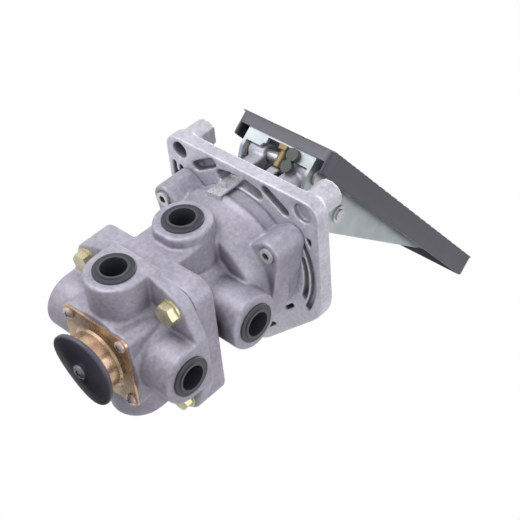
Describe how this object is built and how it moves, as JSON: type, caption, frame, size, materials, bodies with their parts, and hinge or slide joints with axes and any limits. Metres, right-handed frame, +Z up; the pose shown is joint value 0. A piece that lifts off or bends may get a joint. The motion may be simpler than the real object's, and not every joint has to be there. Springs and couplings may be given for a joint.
{
  "type": "foot brake valve",
  "caption": "Foot brake valve: a hinged treadle on a plate with standoffs presses a plunger into a stacked cast valve body with side ports and a capped exhaust.",
  "frame": {"origin": "valve axis in the plane of the standoff ends, where the vehicle floor sits", "axes": "+X towards the free end of the treadle, +Z up the valve axis, away from the ports and exhaust"},
  "size_m": [0.2117, 0.13, 0.3519],
  "materials": {
    "body_casting": "as cast, light shot-blast grain",
    "plate_casting": "as cast, light shot-blast grain",
    "bolt_steel": "zinc plated",
    "yellow_zinc": "yellow passivated zinc, faint pink and green film",
    "black_rubber": "moulded, matt",
    "spring_rubber": "moulded, matt",
    "pad_rubber": "moulded tread, matt grey black",
    "port_ring": "moulded, dark grey",
    "channel_steel": "pale zinc over a drawn sheet",
    "dark_plate": "dark coat, satin",
    "pin_steel": "ground",
    "spring_steel": "oiled wire",
    "bush_bronze": "sintered bronze",
    "inner_alloy": "machined"
  },
  "bodies": {
    "housing": {"mounting_plate": "plate_casting", "upper_body": "body_casting", "lower_body": "body_casting", "body_seal": "black_rubber", "body_bolts": "bolt_steel", "body_bolt_washers": "bolt_steel", "can_screws": "pin_steel", "spring_clip": "pin_steel", "exhaust_cap": "yellow_zinc", "exhaust_cap_screws": "bolt_steel", "exhaust_flap": "black_rubber", "flap_screw": "bolt_steel", "flap_nut": "bolt_steel", "port_insert_upper_back": "port_ring", "port_insert_upper_side": "port_ring", "port_insert_lower_back": "port_ring", "port_insert_lower_side": "port_ring", "port_insert_lower_front": "port_ring", "port_insert_lower_far": "port_ring", "hinge_pin": "pin_steel", "hinge_pin_clip": "pin_steel", "plunger_bush": "bush_bronze", "plunger_boot": "black_rubber", "primary_return_spring": "spring_steel", "primary_valve_guide": "inner_alloy", "primary_guide_ring": "pin_steel", "primary_valve_spring": "spring_steel", "relay_return_spring": "spring_steel", "secondary_valve_guide": "inner_alloy", "secondary_guide_ring": "pin_steel", "secondary_valve_spring": "spring_steel"},
    "treadle": {"treadle_pad": "pad_rubber", "treadle_plate": "dark_plate", "treadle_channel": "channel_steel", "treadle_bushes": "bush_bronze", "stop_screw": "yellow_zinc", "stop_locknut": "yellow_zinc", "heel_buffer": "black_rubber", "roller_pin": "pin_steel", "roller_pin_clips": "pin_steel", "roller_spacers": "pin_steel"},
    "roller": {"roller": "pin_steel"},
    "plunger": {"plunger": "pin_steel", "spring_cup": "pin_steel"},
    "primary_piston": {"primary_piston": "inner_alloy", "primary_piston_seal": "black_rubber", "graduating_spring": "spring_rubber"},
    "primary_valve": {"primary_valve": "inner_alloy"},
    "relay_piston": {"relay_piston": "inner_alloy", "relay_piston_seal": "black_rubber"},
    "secondary_valve": {"secondary_valve": "inner_alloy"}
  },
  "joints": [
    {"name": "treadle_hinge", "type": "hinge", "parent": "housing", "child": "treadle", "pos_m": [-0.043, 0, 0.0145], "axis": [0, 1, 0], "range_deg": [0, 16], "stiffness_Nm_per_rad": 6, "springref_deg": -8.59},
    {"name": "roller_spin", "type": "hinge", "parent": "treadle", "child": "roller", "pos_m": [0, 0, 0.0336], "axis": [0, 1, 0], "continuous": true},
    {"name": "plunger_slide", "type": "slide", "parent": "housing", "child": "plunger", "axis": [0, 0, -1], "range_m": [0, 0.0127], "deforming": ["plunger_boot", "graduating_spring"]},
    {"name": "primary_piston_slide", "type": "slide", "parent": "housing", "child": "primary_piston", "axis": [0, 0, -1], "range_m": [0, 0.0071], "deforming": ["primary_return_spring"]},
    {"name": "primary_valve_slide", "type": "slide", "parent": "housing", "child": "primary_valve", "axis": [0, 0, -1], "range_m": [0, 0.0053], "deforming": ["primary_valve_spring"]},
    {"name": "relay_piston_slide", "type": "slide", "parent": "housing", "child": "relay_piston", "axis": [0, 0, -1], "range_m": [0, 0.0061], "deforming": ["relay_return_spring"]},
    {"name": "secondary_valve_slide", "type": "slide", "parent": "housing", "child": "secondary_valve", "axis": [0, 0, -1], "range_m": [0, 0.0043], "deforming": ["secondary_valve_spring"]}
  ],
  "couplings": [
    {"joint": "plunger_slide", "follows": "treadle_hinge", "m_per_rad": 0.04512},
    {"joint": "primary_piston_slide", "follows": "treadle_hinge", "m_per_rad": 0.025},
    {"joint": "primary_valve_slide", "follows": "treadle_hinge", "m_per_rad": 0.0186},
    {"joint": "relay_piston_slide", "follows": "treadle_hinge", "m_per_rad": 0.0214},
    {"joint": "secondary_valve_slide", "follows": "treadle_hinge", "m_per_rad": 0.015}
  ]
}
